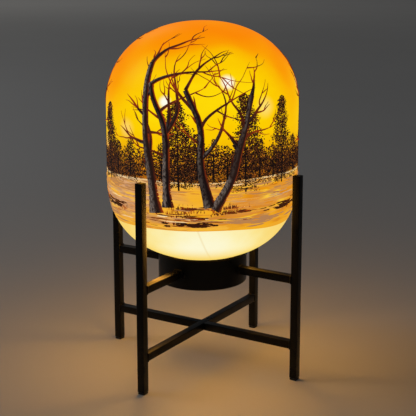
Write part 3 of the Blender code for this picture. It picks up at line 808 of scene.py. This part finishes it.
def make_conifers():
    rng = np.random.default_rng(11)
    return [
        lay_dabs("painted_conifers", conifer_dabs(FRONT_CONIFERS, 3.7, rng), rng),
        lay_dabs("painted_far_conifers", conifer_dabs(FAR_CONIFERS, 2.9, rng), rng),
        lay_dabs("painted_low_woods", low_wood_dabs(rng), rng),
    ]


def add_blade(stems, bearing, arc, headings, length, widths, tone, lift, rng):
    """A short tapered stroke with a random tone up to tone. Widths and lift are in mm."""
    line, arcs, _ = limb_line(bearing, arc, headings, length, rng, 0.1)
    stems.add(line, arcs, np.array(widths) * MM, rng.uniform(0, tone), lift * MM)


def make_conifer_stems(stems, rng):
    """The stems of the conifers, which show below their skirts, and the dead twigs on them."""
    for bearing, foot, tall, _ in CONIFERS:
        start = math.radians(bearing)
        line, arcs, _ = limb_line(
            start, arc_at((foot - 1 if tall > 50 else foot + 6) * MM), [math.pi / 2],
            tall * 0.85 * MM, rng, 0.03,
        )
        stems.add(line, arcs, np.array([0.95, 0.75, 0.35, 0.1]) * MM, rng.uniform(0, 0.4), 0.5 * MM)
        for level in rng.uniform(0.03, 0.5, 9):
            at = int(level * STATIONS)
            side = rng.choice([-1, 1])
            heading = math.pi / 2 - side * rng.uniform(1.2, 1.8)
            headings = (heading, heading + side * 0.3)
            length = rng.uniform(3, 8) * MM
            add_blade(stems, line[at], arcs[at], headings, length, (0.4, 0.3, 0.1), 0.5, 0.5, rng)


def make_grass(stems, rng):
    """Short dark tufts, thickest at the feet of the bare trees, and fences of dead stalks."""
    spots = [(math.radians(tree[0]), tree[1] - 0.5, 12, 3.2) for tree in BARE_TREES]
    for tree in BARE_TREES:
        spots.append((math.radians(tree[0] + rng.uniform(6, 15)), tree[1] - 1.5, 28, 5.0))
    spots += [(rng.uniform(0, 6.28), rng.uniform(129, 141), 9, 4.0) for _ in range(20)]
    for bearing, height, count, spread in spots:
        for _ in range(count):
            start = bearing + rng.normal(0, spread) * MM / SHADE_RADIUS
            foot = arc_at((height + rng.normal(0, 0.7)) * MM)
            heading = math.pi / 2 + rng.normal(0, 0.3)
            headings = (heading, heading + rng.normal(0, 0.3))
            length = rng.uniform(1.8, 4.8) * MM
            add_blade(stems, start, foot, headings, length, (0.42, 0.34, 0.1), 1, 0.75, rng)


def ground_stroke(marks, bearing, height, length, thick, tone, rng, slope=0.0):
    """A near-level stroke with worn ends, kept between the two edges of the snow."""
    line, arcs, _ = limb_line(bearing, arc_at(height), [slope, -slope], length, rng, 0.05)
    arcs = np.clip(arcs, arc_at(paint_edge(line) + MM), arc_at(snow_line(line) - 0.5 * MM))
    shape = np.array([0.05, 0.7, 1.0, 0.75, 0.95, 0.05]) * thick
    marks.add(line, arcs, shape, tone, GROUND_LIFT)


# Patches of level strokes: bearing and height of the middle, their spreads, the number of
# strokes, their length and half thickness, and a tone. Degrees and mm.
PATCHES = (
    (22, 131.0, 6, 0.9, 34, 9, 0.95, 1.0), (84, 139, 7, 0.8, 22, 11, 0.8, 1.0),
    (-36, 141, 8, 1.0, 22, 10, 0.8, 0.97), (12, 133.5, 12, 0.6, 8, 26, 0.45, 0.88),
    (62, 130.5, 12, 1.8, 20, 20, 1.0, 0.5), (-30, 155.5, 16, 2.2, 24, 17, 0.9, 0.46),
    (30, 134.5, 16, 0.7, 10, 24, 0.55, 0.52), (49, 140.5, 5, 0.45, 18, 8, 0.7, 0.92),
    (22, 143.5, 5, 0.45, 14, 7, 0.6, 0.93), (70, 149, 13, 1.3, 10, 22, 0.5, 0.78),
    (30, 157, 22, 1.8, 18, 14, 0.5, 0.60), (60, 154, 16, 2.0, 12, 20, 0.8, 0.30),
    (20, 128, 18, 0.9, 20, 22, 0.8, 0.05), (48, 144, 16, 2.2, 22, 22, 0.7, 0.62),
    (-8, 148, 14, 1.6, 12, 18, 0.6, 0.02), (7, 137, 3, 0.5, 5, 8, 0.6, 0.72),
)


def make_ground_strokes():
    """Level strokes over the snow: drifts in light and grey paint, and dark ground between them."""
    rng = np.random.default_rng(5)
    marks = Strokes()
    for _ in range(150):
        bearing = rng.uniform(0, 2 * np.pi)
        low, high = float(paint_edge(bearing)) + 2 * MM, float(snow_line(bearing)) - 2 * MM
        ground_stroke(
            marks, bearing, rng.uniform(low, high), rng.uniform(8, 34) * MM,
            rng.uniform(0.2, 0.8) * MM, rng.uniform(0, 0.7), rng, rng.normal(0, 0.06),
        )
    for tree in BARE_TREES:
        for _ in range(12):
            bearing = math.radians(tree[0] + rng.uniform(-16, 16))
            height = (tree[1] - rng.choice([1, 9]) + rng.normal(0, 0.9)) * MM
            ground_stroke(marks, bearing, height, rng.uniform(5, 17) * MM,
                          rng.uniform(0.25, 0.75) * MM, rng.uniform(0.78, 1), rng)
    for _ in range(110):
        bearing = rng.uniform(0, 2 * np.pi)
        height = float(snow_line(bearing)) - rng.uniform(0.3, 1.2) * MM
        ground_stroke(marks, bearing, height, rng.uniform(5, 18) * MM, rng.uniform(0.22, 0.38) * MM,
                      rng.uniform(0.70, 0.74), rng)
    return marks.lay("painted_snow_strokes")


def make_ground_patches():
    """The patches of the table above, at the front and twice more round the back."""
    rng = np.random.default_rng(6)
    marks = Strokes()
    for shift in (0, 119, 241):
        for bearing, height, around, up, count, length, thick, tone in PATCHES:
            for _ in range(count):
                middle = math.radians(bearing + shift + rng.normal(0, around))
                ground_stroke(
                    marks, middle, (height + rng.normal(0, up)) * MM,
                    length * rng.uniform(0.5, 1.3) * MM, thick * rng.uniform(0.5, 1.2) * MM,
                    tone + rng.uniform(-0.02, 0.01), rng, rng.normal(0, 0.04),
                )
    return marks.lay("painted_ground_patches")


# Stand


def rounded_square(half, corner, count=6):
    """Points round a square section with rounded corners."""
    quarter = np.linspace(0, np.pi / 2, count)
    arc = np.stack([np.cos(quarter), np.sin(quarter)], axis=1) * corner + half - corner
    turns = [arc @ np.array([[math.cos(a), math.sin(a)], [-math.sin(a), math.cos(a)]])
             for a in (0, math.pi / 2, math.pi, 3 * math.pi / 2)]
    return np.vstack(turns)


def bar_points(low, high, axis, edge):
    """A square bar between two corners of a box, long along one axis, with eased edges and ends."""
    low, high = np.array(low), np.array(high)
    middle = (low + high) / 2
    others = [i for i in range(3) if i != axis]
    half = (high - low)[others[0]] / 2
    section = rounded_square(half, edge)
    turn = np.linspace(0, np.pi / 2, 5)
    inset = edge * (1 - np.sin(turn))
    along = edge * (1 - np.cos(turn))
    places = np.concatenate([low[axis] + along, (high[axis] - along)[::-1]])
    insets = np.concatenate([inset, inset[::-1]])
    shrink = (half - insets)[:, None, None] / half
    points = np.empty((len(places), len(section), 3))
    points[..., others] = section * shrink + middle[others]
    points[..., axis] = places[:, None]
    return points


def bar_piece(name, box, axis, edge=0.32 * MM):
    points = bar_points(*box, axis, edge)
    rows, ring = points.shape[:2]
    faces = [loop_faces(rows, ring, closed_rows=False), end_caps(rows, ring)]
    piece = mesh_piece(name, points.reshape(-1, 3), faces)
    close_seams(piece, 50)
    return piece


def weld_ring(middle, axis, half, thick, rng):
    """A bead of weld round a square bar's end: a closed tube whose thickness wavers."""
    path = rounded_square(half, 0.8 * MM, 7)
    centre = path.mean(axis=0)
    out = (path - centre) / np.linalg.norm(path - centre, axis=1)[:, None]
    bead = np.linspace(0, 2 * np.pi, 10, endpoint=False)
    size = thick * (1 + 0.16 * np.cos(np.arange(len(path)) * 1.9 + rng.uniform(0, 6)))
    others = [i for i in range(3) if i != axis]
    points = np.empty((len(path), len(bead), 3))
    swell = size[:, None] * np.cos(bead)
    for slot, other in enumerate(others):
        points[..., other] = path[:, slot, None] + out[:, slot, None] * swell + middle[other]
    points[..., axis] = middle[axis] + size[:, None] * np.sin(bead)
    return points


def make_stand():
    """Legs on rubber feet, arms and cross bars with a weld at each outer end, and a turned cup."""
    rng = np.random.default_rng(2)
    sides = {"front": 1, "right": 0, "back": 1, "left": 0}
    pieces, welds = [], []
    for side in sides:
        leg = bar_piece(f"leg_bar_{side}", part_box(f"leg_{side}"), 2)
        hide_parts(f"leg_{side}")
        pieces.append(leg)
        pad = bar_piece(f"rubber_foot_{side}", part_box(f"foot_pad_{side}"), 2, 0.35 * MM)
        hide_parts(f"foot_pad_{side}")
        finish_rubber(pad)
        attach(pad, "stand")
    level_bars = {f"arm_{side}": (f"arm_bar_{side}", axis) for side, axis in sides.items()}
    for side, axis in (("long", 1), ("right", 0), ("left", 0)):
        level_bars[f"brace_{side}"] = (f"cross_bar_{side}", axis)
    for node, (name, axis) in level_bars.items():
        low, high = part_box(node)
        low[axis] -= EMBED
        high[axis] += EMBED
        bar = bar_piece(name, (low, high), axis, 0.3 * MM)
        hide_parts(node)
        pieces.append(bar)
        for end in (low[axis], high[axis]):
            if abs(end) > BAR:
                spot = (low + high) / 2
                spot[axis] = end
                welds.append(weld_ring(spot, axis, BAR / 2, WELD, rng))
    rows, ring = welds[0].shape[:2]
    starts = np.arange(len(welds))[:, None, None] * rows * ring
    faces = (starts + loop_faces(rows, ring)).reshape(-1, 4)
    beads = mesh_piece("weld_beads", np.array(welds).reshape(-1, 3), [faces])
    close_seams(beads, 70)
    pieces.append(beads)
    cup_low, cup_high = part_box("cup_shell")
    cup_radius = cup_high.x
    wall = 1.2 * MM
    ledge = cup_radius - 4.4 * MM
    outline = rounded([
        (ledge, cup_low.z), (cup_radius, cup_low.z), (cup_radius, cup_high.z),
        (cup_radius - wall, cup_high.z), (cup_radius - wall, cup_low.z + wall),
        (ledge, cup_low.z + wall),
    ], 0.55 * MM)
    cup = turned("turned_cup", outline, 160)
    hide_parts("cup_shell")
    pieces.append(cup)
    for piece in pieces:
        finish_black_coat(piece)
        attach(piece, "stand")


def finish_black_coat(piece):
    """Satin black powder coat over steel."""
    tree, shader = new_finish(piece, f"black_coat_{piece.name}", (0.004, 0.004, 0.004), 0.34)
    outputs = use_group(COAT, Vector=coords(tree))
    feed(shader.inputs["Roughness"], between(outputs["Gloss"], 0.3, 0.7, 0.26, 0.40))
    worn = mix_colour(outputs["Gloss"], (0.0020, 0.0020, 0.0020), (0.0050, 0.0048, 0.0045))
    feed(shader.inputs["Base Color"], worn)
    shader.inputs["Specular IOR Level"].default_value = 0.16
    bump(shader, outputs["Height"], 0.05 * MM, 0.5)


def finish_rubber(piece):
    tree, shader = new_finish(piece, f"rubber_{piece.name}", (0.012, 0.012, 0.012), 0.8)
    outputs = use_group(COAT, Vector=coords(tree), Scale=900.0)
    shade = mix_colour(outputs["Gloss"], (0.010, 0.010, 0.010), (0.022, 0.021, 0.020))
    feed(shader.inputs["Base Color"], shade)
    bump(shader, outputs["Height"], 0.08 * MM, 0.6)


# Finishes of the painted glass


def bead_spots():
    """Where each light's glow falls on the outside of the glass, with its strength."""
    strengths = (0.0, 0.15, 0.3, 0.75, 0.25, 0.3, 0.35, 0.45, 0.85, 1.0, 0.55, 0.5)
    spots = []
    for number, strength in enumerate(strengths, 1):
        low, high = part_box(f"led_bead_{number:02d}")
        middle = (low + high) / 2
        arc = arc_at(middle.z)
        place = on_glass(np.array([math.atan2(middle.x, -middle.y)]), np.array([arc]), 0.0)[0]
        spots.append((tuple(float(value) for value in place), strength))
    return spots


def light_level(place, height):
    """How brightly the paint is lit: most over the middle, and near each light of the string."""
    slow = noise(place, 16.0, 2)
    level = between(height, 0.280, 0.222, 0.0, 0.58)
    drift = times(minus(slow, 0.5), 0.5)
    level = plus(level, drift)
    side = level_along(place, RIGHTWARD)
    far = between(sums("ABSOLUTE", side), 0.040, 0.072, 0.0, 0.42)
    level = minus(level, times(far, between(height, 0.196, 0.232)))
    heart = 0.0
    for spot, strength in bead_spots():
        if strength == 0:
            continue
        gap = distance_to(place, spot)
        halo = between(gap, (26 + 22 * strength) * MM, 0.0, 0.0, 0.55 * strength)
        level = plus(level, halo)
        if strength > 0.8:
            reach = 7.0 * MM * strength
            core = between(gap, reach, 0.25 * reach)
        else:
            core = between(gap, 10 * MM, 0.0, 0.0, 0.34 * strength)
        heart = sums("MAXIMUM", heart, core)
    return level, heart


def glow_finish(piece, name, colour_of, roughness=0.4):
    """A lit paint: its colour shines from inside, and is deep gold where it is reflected."""
    tree, shader = new_finish(piece, name, (0.5, 0.28, 0.06), roughness)
    colour = colour_of(tree)
    # Painted reflection: glossy rays see the glow as deep gold, which then shows in the black
    # stand.
    path = put(tree, "ShaderNodeLightPath", out=3)
    shown = mix_colour(path, colour, (1.7, 0.75, 0.03))
    feed(shader.inputs["Emission Color"], shown)
    shader.inputs["Emission Strength"].default_value = 1.0
    shader.inputs["Specular IOR Level"].default_value = 0.06
    feed(shader.inputs["Base Color"], mix_colour(0.97, colour, (0, 0, 0)))
    return tree, shader


def sky_colour(tree):
    place = coords(tree)
    height = height_of(place)
    level, heart = light_level(place, height)
    base = ramp(level, (
        (0.00, (251, 136, 0)), (0.20, (251, 156, 0)), (0.36, (251, 182, 0)),
        (0.60, (252, 200, 0)), (0.85, (253, 208, 0)), (1.00, (254, 218, 6)),
    ))
    fine = use_group(BRUSH, Vector=place, Scale=26.0, Squeeze=3.0)["Marks"]
    streaked = painted(base, fine, 0.10, (244, 140, 0))
    # Painted shade: deeper orange low in the sky, where the glow is dim.
    warm = times(between(height, 0.190, 0.164), between(level, 1.1, 0.7))
    streaked = painted(streaked, warm, 0.75, (230, 132, 14))
    wash_noise = noise(place, 90.0, 3, 0.6)
    low = between(height, 0.202, 0.160)
    wash = times(low, between(wash_noise, 0.28, 0.58))
    washed = painted(streaked, wash, 0.9, (206, 108, 16))
    stipple = noise(place, 620.0, 3, 0.65)
    crest = times(minus(noise(place, 36.0, 2), 0.5), 0.045)
    depth = between(plus(height, crest), 0.186, 0.160)
    woods = between(plus(stipple, times(depth, 0.30)), 0.60, 0.66)
    woods = times(woods, times(between(depth, 0.0, 0.12), 0.55))
    dark = mix_colour(noise(place, 200.0, 1), tint(20, 9, 6), tint(92, 44, 20))
    return mix_colour(heart, mix_colour(woods, washed, dark), tint(255, 253, 236))


def snow_colour(tree):
    place = coords(tree)
    height = height_of(place)
    marks = use_group(BRUSH, Vector=place, Scale=24.0, Squeeze=6.0)
    fine = use_group(BRUSH, Vector=place, Scale=62.0, Squeeze=9.0)
    tiny = use_group(BRUSH, Vector=place, Scale=150.0, Squeeze=10.0)
    # Painted light and shade: warmer orange to the right of the front, cooler tan to the left, with
    # a drift of the brush marks' tone on top.
    side = level_along(place, RIGHTWARD)
    side_light_and_tone = plus(between(side, -0.06, 0.045, 0.10, 0.86),
                  times(minus(marks["Drift"], 0.5), 2.6))
    base = ramp(side_light_and_tone, (
        (0.0, (218, 162, 112)), (0.3, (230, 160, 74)), (0.6, (218, 134, 18)),
        (1.0, (238, 156, 8)),
    ))
    # Painted shade: lilac grey marks over the shaded left side.
    shaded = between(side, 0.03, -0.05, 0.22, 0.62)
    lilac_shade = times(between(fine["Marks"], 0.32, 0.7), shaded)
    base = mix_colour(lilac_shade, base, tint(158, 116, 96))
    bare = between(marks["Marks"], 0.7, 0.2)
    light = times(between(fine["Drift"], 0.50, 0.36), bare)
    base = painted(base, light, 0.9, (254, 204, 60))
    broad = between(noise(coords(tree, (1, 1, 2.2)), 22.0, 2), 0.50, 0.66)
    base = painted(base, broad, 0.8, (250, 182, 32))
    patch = between(marks["Drift"], 0.45, 0.6)
    rust = times(between(tiny["Drift"], 0.56, 0.66), patch)
    base = painted(base, rust, 0.8, (160, 68, 14))
    thin = between(marks["Marks"], 0.95, 0.5)
    gold = times(between(height, 0.136, 0.127), thin)
    base = painted(base, gold, 0.85, (240, 170, 40))
    crest = times(between(height, 0.157, 0.166), between(tiny["Marks"], 0.3, 0.6))
    return painted(base, crest, 0.55, (252, 222, 150))


def glass_colour(tree):
    """Bare frosted glass: near white over the lowest light, cream further off, with the lead wire's
    painted shadow and painted shade towards the cup's rim.
    """
    place = coords(tree)
    spot, _ = bead_spots()[0]
    target = (spot[0], spot[1], spot[2] + 0.008)
    gap = distance_to(place, target)
    cloudy = times(minus(noise(place, 60.0, 2), 0.5), 0.02)
    base = ramp(between(plus(gap, cloudy), 0.003, 0.066), (
        (0.0, (252, 248, 214)), (0.3, (252, 241, 184)), (0.65, (251, 229, 146)),
        (1.0, (249, 214, 112)),
    ))
    height = height_of(place)
    # Painted shadow of the string's lead wire: a faint tan line across the front.
    lateral = level_along(place, RIGHTWARD)
    slant = plus(lateral, times(minus(height, 0.113), 0.34))
    line = between(sums("ABSOLUTE", minus(slant, 0.0012)), 1.1 * MM, 0.2 * MM)
    facing = level_along(place, FORWARD)
    shown = times(line, between(facing, 0.02, 0.03))
    # Painted shade: deeper yellow along the lowest edge of the glass, by the cup's rim.
    rim = between(height, 0.111, 0.095)
    base = painted(base, shown, 0.28, (226, 190, 108))
    return painted(base, rim, 0.85, (250, 212, 90))


def paint_parts(tree):
    """Across, along, thickness and tone of a stroke, from its attribute."""
    source = tree.nodes.new("ShaderNodeAttribute")
    source.attribute_name = "paint"
    parts = tree.nodes.new("ShaderNodeSeparateColor")
    feed(parts.inputs[0], source.outputs["Color"])
    return parts.outputs[0], parts.outputs[1], parts.outputs[2], source.outputs["Alpha"]


def finish_bark(piece):
    """Black-brown paint that glows a little with the light from inside: dry-brushed grey on one
    side as a painted highlight, and red-brown at the thin edge on the other side and in thin twigs,
    painted as light shining through thin paint.
    """
    tree, shader = new_finish(piece, "bark_paint", (0.012, 0.007, 0.006), 0.5)
    shader.inputs["Specular IOR Level"].default_value = 0.25
    across, _, thick, tone = paint_parts(tree)
    place = coords(tree, (1, 1, 0.45))
    grain = noise(place, 900.0, 3, 0.6)
    # Painted highlight: grey dry-brushed along one side of the wider strokes.
    lit_side = between(across, 0.60, 0.34)
    dry = between(grain, 0.34, 0.62)
    wide = between(thick, 0.24, 0.55)
    grey = times(times(lit_side, dry), wide)
    # Painted backlight: red-brown where light from inside shows through the thin edge and thin
    # twigs.
    backlit_edge = between(across, 0.70, 0.96)
    thin = between(thick, 0.42, 0.10)
    red = sums("MAXIMUM", times(backlit_edge, 0.8), times(thin, 0.75))
    patchy = noise(coords(tree), 70.0, 2)
    red = times(red, between(patchy, 0.32, 0.58, 0.12, 1.0))
    grey = times(grey, between(noise(place, 46.0, 2), 0.40, 0.58, 0.16, 1.0))
    base = mix_colour(tone, tint(18, 10, 12), tint(38, 22, 18))
    base = painted(base, grey, 0.9, (118, 106, 98))
    base = mix_colour(red, base, mix_colour(grain, tint(96, 22, 10), tint(212, 84, 18)))
    feed(shader.inputs["Base Color"], base)
    feed(shader.inputs["Emission Color"], base)
    shader.inputs["Emission Strength"].default_value = 0.9
    bump(shader, grain, 0.12 * MM, 0.7)


def finish_stipple(piece):
    tree, shader = new_finish(piece, "stipple_paint", (0.01, 0.006, 0.005), 0.5)
    tone = paint_parts(tree)[3]
    base = ramp(tone, (
        (0.0, (13, 8, 8)), (0.6, (30, 15, 12)),
        (0.80, (58, 30, 17)), (1.0, (140, 76, 26)),
    ))
    grain = noise(coords(tree), 1500.0, 2)
    feed(shader.inputs["Base Color"], base)
    feed(shader.inputs["Emission Color"], base)
    shader.inputs["Emission Strength"].default_value = 0.8
    bump(shader, grain, 0.1 * MM, 0.6)


def finish_ground_strokes(piece):
    def colour(tree):
        tone = paint_parts(tree)[3]
        grain = noise(coords(tree, (1, 1, 6)), 500.0, 2)
        base = ramp(tone, (
            (0.0, (250, 190, 56)), (0.18, (232, 160, 66)), (0.36, (200, 138, 66)),
            (0.5, (172, 124, 84)), (0.62, (220, 136, 24)), (0.72, (255, 234, 182)),
            (0.80, (150, 62, 14)), (0.92, (84, 34, 14)), (1.0, (40, 15, 10)),
        ))
        dry = times(grain, between(tone, 0.70, 0.80, 0.2, 0.015))
        return mix_colour(dry, base, tint(214, 140, 56))

    glow_finish(piece, "snow_stroke_paint", colour)


def make_shade():
    glass, sky, snow = make_shade_pieces()
    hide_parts("glass_shade")
    tree, shader = glow_finish(glass, "frosted_glass", glass_colour, roughness=0.55)
    bump(shader, noise(coords(tree), 1400.0, 2), 0.03 * MM, 0.5)
    for piece, name, colour, scale, squeeze, height, strength in (
        (sky, "sky_paint", sky_colour, 40.0, 3.0, 0.12 * MM, 0.35),
        (snow, "snow_paint", snow_colour, 70.0, 9.0, 0.25 * MM, 0.5),
    ):
        tree, shader = glow_finish(piece, name, colour)
        brushed = use_group(BRUSH, Vector=coords(tree), Scale=scale, Squeeze=squeeze)
        bump(shader, brushed["Marks"], height, strength)
    trees = make_bare_trees()
    finish_bark(trees)
    conifers = make_conifers()
    ground, patches = make_ground_strokes(), make_ground_patches()
    finish_ground_strokes(ground)
    finish_ground_strokes(patches)
    rng = np.random.default_rng(17)
    stems = Strokes()
    make_conifer_stems(stems, rng)
    stems = stems.lay("painted_conifer_stems")
    finish_stipple(stems)
    grass = Strokes()
    make_grass(grass, rng)
    fine = grass.lay("painted_grass")
    finish_bark(fine)
    shade = [glass, sky, snow, trees, *conifers, stems, ground, patches, fine]
    for piece in shade:
        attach(piece, "light_unit")
    return shade


# The light unit, seen when the shade is lifted and from below


def finish_plastic(obj, name, colour, roughness=0.5):
    tree, shader = new_finish(obj, name, colour, roughness)
    outputs = use_group(COAT, Vector=coords(tree), Scale=1300.0)
    darker = tuple(value * 0.75 for value in colour)
    feed(shader.inputs["Base Color"], mix_colour(outputs["Gloss"], darker, colour))
    bump(shader, outputs["Height"], 0.06 * MM, 0.6)


def finish_metal(obj, name, colour, roughness):
    tree, shader = new_finish(obj, name, colour, roughness, 1.0)
    brushed = noise(coords(tree, (1, 1, 12)), 400.0, 2)
    sheen = between(brushed, 0.3, 0.7, roughness - 0.08, roughness + 0.1)
    feed(shader.inputs["Roughness"], sheen)
    bump(shader, brushed, 0.01 * MM, 0.4)


def make_light_unit():
    slots = {part["node"]: part["material_slot"] for part in frame["record"]["subparts"]}
    plastics = {
        "housing_plastic": (0.02, 0.02, 0.021), "gasket_rubber": (0.012, 0.012, 0.012),
        "clear_silicone": (0.42, 0.40, 0.37), "cell_wrap": (0.03, 0.12, 0.07),
        "board_green": (0.01, 0.11, 0.04), "chip_black": (0.012, 0.012, 0.013),
        "light_resin": (0.9, 0.7, 0.35), "foot_rubber": (0.012, 0.012, 0.012),
        "stand_coat": (0.012, 0.011, 0.011), "painted_glass": (0.8, 0.5, 0.2),
    }
    metals = {
        "screw_zinc": ((0.55, 0.55, 0.55), 0.32), "contact_nickel": ((0.62, 0.59, 0.54), 0.28),
        "string_copper": ((0.72, 0.36, 0.2), 0.3),
    }
    for node, obj in frame["nodes"].items():
        slot = slots[node]
        if slot in metals:
            finish_metal(obj, f"{slot}_{node}", *metals[slot])
        else:
            finish_plastic(obj, f"{slot}_{node}", plastics[slot])
    rim = turned("rim_ring", rim_gasket_outline(), 160)
    finish_rubber(rim)
    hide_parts("rim_gasket")
    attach(rim, "light_unit")


def rim_gasket_outline():
    """A ring that sits on the cup's lip, its top following the glass, with a skirt inside."""
    low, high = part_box("rim_gasket")
    cup_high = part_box("cup_shell")[1]
    outside, lip = high.x, cup_high.x - 1.5 * MM
    inside = NECK_RADIUS + 0.3 * MM
    seat = cup_high.z + 0.3 * MM
    under_outer = below_band(outside, OUT_Z) - 0.3 * MM
    under_inner = below_band(inside, OUT_Z) - 0.3 * MM
    return rounded([
        (lip, seat), (outside, seat), (outside, under_outer), (inside, under_inner),
        (inside, low.z), (lip, low.z),
    ], 0.25 * MM)


make_camera()
make_floor()
make_stand()
make_light_unit()
shade_parts = make_shade()
make_lights(shade_parts)
